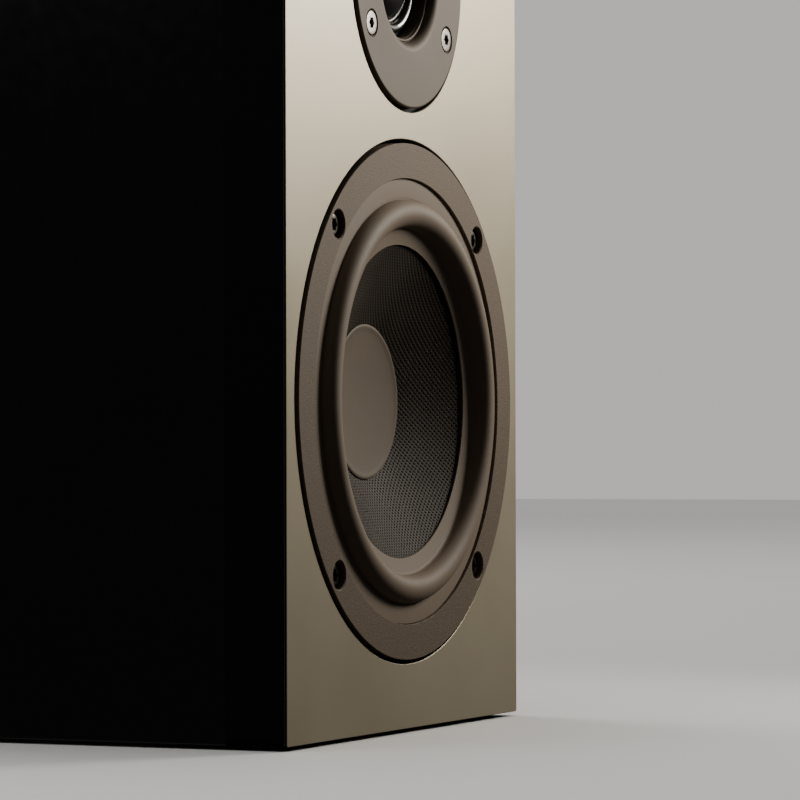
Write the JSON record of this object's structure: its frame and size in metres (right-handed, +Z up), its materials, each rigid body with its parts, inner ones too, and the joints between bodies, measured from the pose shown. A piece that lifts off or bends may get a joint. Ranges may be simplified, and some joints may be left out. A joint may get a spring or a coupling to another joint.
{
  "type": "two-way loudspeaker",
  "caption": "Compact bass-reflex loudspeaker: flush woofer with a rubber surround, dome tweeter, rear port and screw-down wire terminals in a recessed cup.",
  "frame": {"origin": "on the surface it stands on, under the middle of the whole object", "axes": "+Z up, the drivers face -Y, +X to the right when seen from the front; both driver axes lie in the plane X = 0"},
  "size_m": [0.193, 0.2844, 0.3415],
  "materials": {
    "champagne_satin": "warm satin lacquer with a very fine metallic grain",
    "black_board": "matt black paint on fibreboard",
    "black_lacquer": "deep black gloss lacquer",
    "raw_board": "raw fibreboard",
    "cast_frame": "textured powder coat, warm grey",
    "satin_plate": "smooth satin, warm grey",
    "surround_rubber": "satin rubber",
    "woven_fibre": "open plain weave, coated",
    "cap_paper": "smooth matt",
    "dome_cloth": "coated silk, wet gloss",
    "spider_cloth": "resin-soaked cotton",
    "gasket_foam": "closed-cell foam",
    "foot_rubber": "matt",
    "damping_wool": "fluffy fibre felt",
    "black_plastic": "fine moulded grain",
    "red_plastic": "translucent red, polished",
    "gilt_brass": "gold flash",
    "screw_steel": "dark zinc, polished head",
    "motor_steel": "bright zinc",
    "ferrite": "ground",
    "copper_wire": "enamelled winding",
    "circuit_board": "solder mask",
    "capacitor_film": "wrapped film",
    "resistor_ceramic": "unglazed",
    "lead_jacket": "soft jacket"
  },
  "bodies": {
    "cabinet": {"front_facing": "champagne_satin", "front_baffle": "black_board", "side_panel_left": "black_lacquer", "side_panel_right": "black_lacquer", "bottom_panel": "black_lacquer", "top_panel": "black_lacquer", "rear_panel": "black_board", "cross_brace": "raw_board", "foot_pad_front_left": "foot_rubber", "foot_pad_front_right": "foot_rubber", "foot_pad_rear_left": "foot_rubber", "foot_pad_rear_right": "foot_rubber", "damping_felt_left": "damping_wool", "damping_felt_right": "damping_wool", "port_tube": "black_plastic", "terminal_cup": "black_plastic", "terminal_screw_1": "screw_steel", "terminal_screw_2": "screw_steel", "terminal_screw_3": "screw_steel", "terminal_screw_4": "screw_steel", "post_stud_black": "gilt_brass", "post_stud_red": "gilt_brass", "woofer_frame": "cast_frame", "woofer_gasket": "gasket_foam", "woofer_surround": "surround_rubber", "woofer_spider": "spider_cloth", "woofer_front_plate": "motor_steel", "woofer_magnet": "ferrite", "woofer_yoke": "motor_steel", "woofer_tag_strip": "black_plastic", "woofer_screw_1": "screw_steel", "woofer_screw_2": "screw_steel", "woofer_screw_3": "screw_steel", "woofer_screw_4": "screw_steel", "tweeter_faceplate": "satin_plate", "tweeter_surround": "dome_cloth", "tweeter_front_plate": "motor_steel", "tweeter_magnet": "ferrite", "tweeter_yoke": "motor_steel", "tweeter_screw_1": "screw_steel", "tweeter_screw_2": "screw_steel", "tweeter_screw_3": "screw_steel", "crossover_board": "circuit_board", "woofer_inductor": "copper_wire", "tweeter_inductor": "copper_wire", "woofer_capacitor": "capacitor_film", "tweeter_capacitor": "capacitor_film", "tweeter_resistor": "resistor_ceramic", "input_lead": "lead_jacket", "woofer_lead": "lead_jacket", "tweeter_lead": "lead_jacket"},
    "woofer_diaphragm": {"woofer_cone": "woven_fibre", "woofer_dust_cap": "cap_paper", "woofer_voice_coil": "copper_wire"},
    "tweeter_diaphragm": {"tweeter_dome": "dome_cloth", "tweeter_voice_coil": "copper_wire"},
    "red_clamp": {"post_collar_red": "gilt_brass"},
    "red_knob": {"post_knob_red": "red_plastic"},
    "black_clamp": {"post_collar_black": "gilt_brass"},
    "black_knob": {"post_knob_black": "black_plastic"}
  },
  "joints": [
    {"name": "woofer_stroke", "type": "slide", "parent": "cabinet", "child": "woofer_diaphragm", "axis": [0, -1, 0], "range_m": [-0.005, 0.005], "stiffness_N_per_m": 1000, "deforming": ["woofer_surround", "woofer_spider"]},
    {"name": "tweeter_stroke", "type": "slide", "parent": "cabinet", "child": "tweeter_diaphragm", "axis": [0, -1, 0], "range_m": [-0.0005, 0.0005], "stiffness_N_per_m": 2000, "deforming": ["tweeter_surround"]},
    {"name": "red_clamp_slide", "type": "slide", "parent": "cabinet", "child": "red_clamp", "axis": [0, 1, 0], "range_m": [0, 0.005]},
    {"name": "red_knob_turn", "type": "hinge", "parent": "red_clamp", "child": "red_knob", "pos_m": [0.013, 0.1323, 0.0795], "axis": [0, 1, 0], "range_deg": [0, 1802]},
    {"name": "black_clamp_slide", "type": "slide", "parent": "cabinet", "child": "black_clamp", "axis": [0, 1, 0], "range_m": [0, 0.005]},
    {"name": "black_knob_turn", "type": "hinge", "parent": "black_clamp", "child": "black_knob", "pos_m": [-0.013, 0.1323, 0.0795], "axis": [0, 1, 0], "range_deg": [0, 1802]}
  ],
  "couplings": [
    {"joint": "red_knob_turn", "follows": "red_clamp_slide", "rad_per_m": 6283.2},
    {"joint": "black_knob_turn", "follows": "black_clamp_slide", "rad_per_m": 6283.2}
  ]
}
